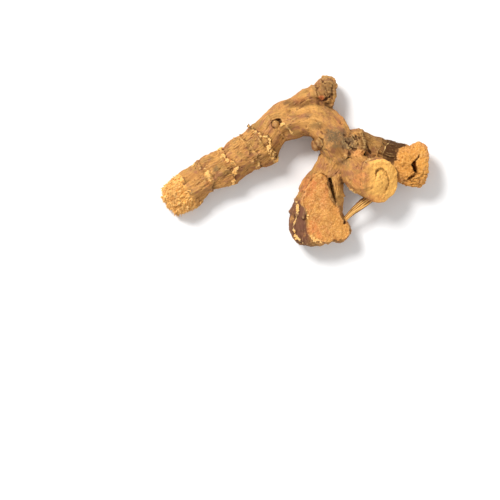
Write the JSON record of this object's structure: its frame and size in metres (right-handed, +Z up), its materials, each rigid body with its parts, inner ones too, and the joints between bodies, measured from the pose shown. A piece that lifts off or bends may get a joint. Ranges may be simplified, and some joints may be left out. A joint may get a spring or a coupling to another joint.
{
  "type": "lesser galangal root",
  "caption": "Dried forked rhizome with ringed brown skin, a fibrous cut end, a peeled branch, a cut branch and a split knob, lying flat.",
  "frame": {"origin": "on the table, under the middle of the outline", "axes": "+X along the whole piece, from the long arm's fibrous end to the split knob; +Y towards the crown stub; +Z up from the table, towards the side that the picture shows"},
  "size_m": [0.0853, 0.0547, 0.0179],
  "materials": {
    "skin": "matt, wrinkled brown bark with pale crumbly rings",
    "crown_skin": "matt, rough olive-brown bark",
    "cut_flesh": "matt, granular pale orange flesh",
    "peeled_flesh": "matt, fibrous pale orange flesh beside reddish brown bark",
    "split_flesh": "matt, spongy pale flesh and brown bark",
    "dried_fibre": "matt, straw-coloured fibre"
  },
  "bodies": {
    "root": {"stem": "skin", "crown_stub": "crown_skin", "cut_branch": "cut_flesh", "peeled_branch": "peeled_flesh", "split_branch": "split_flesh", "rootlet": "dried_fibre"}
  },
  "joints": []
}
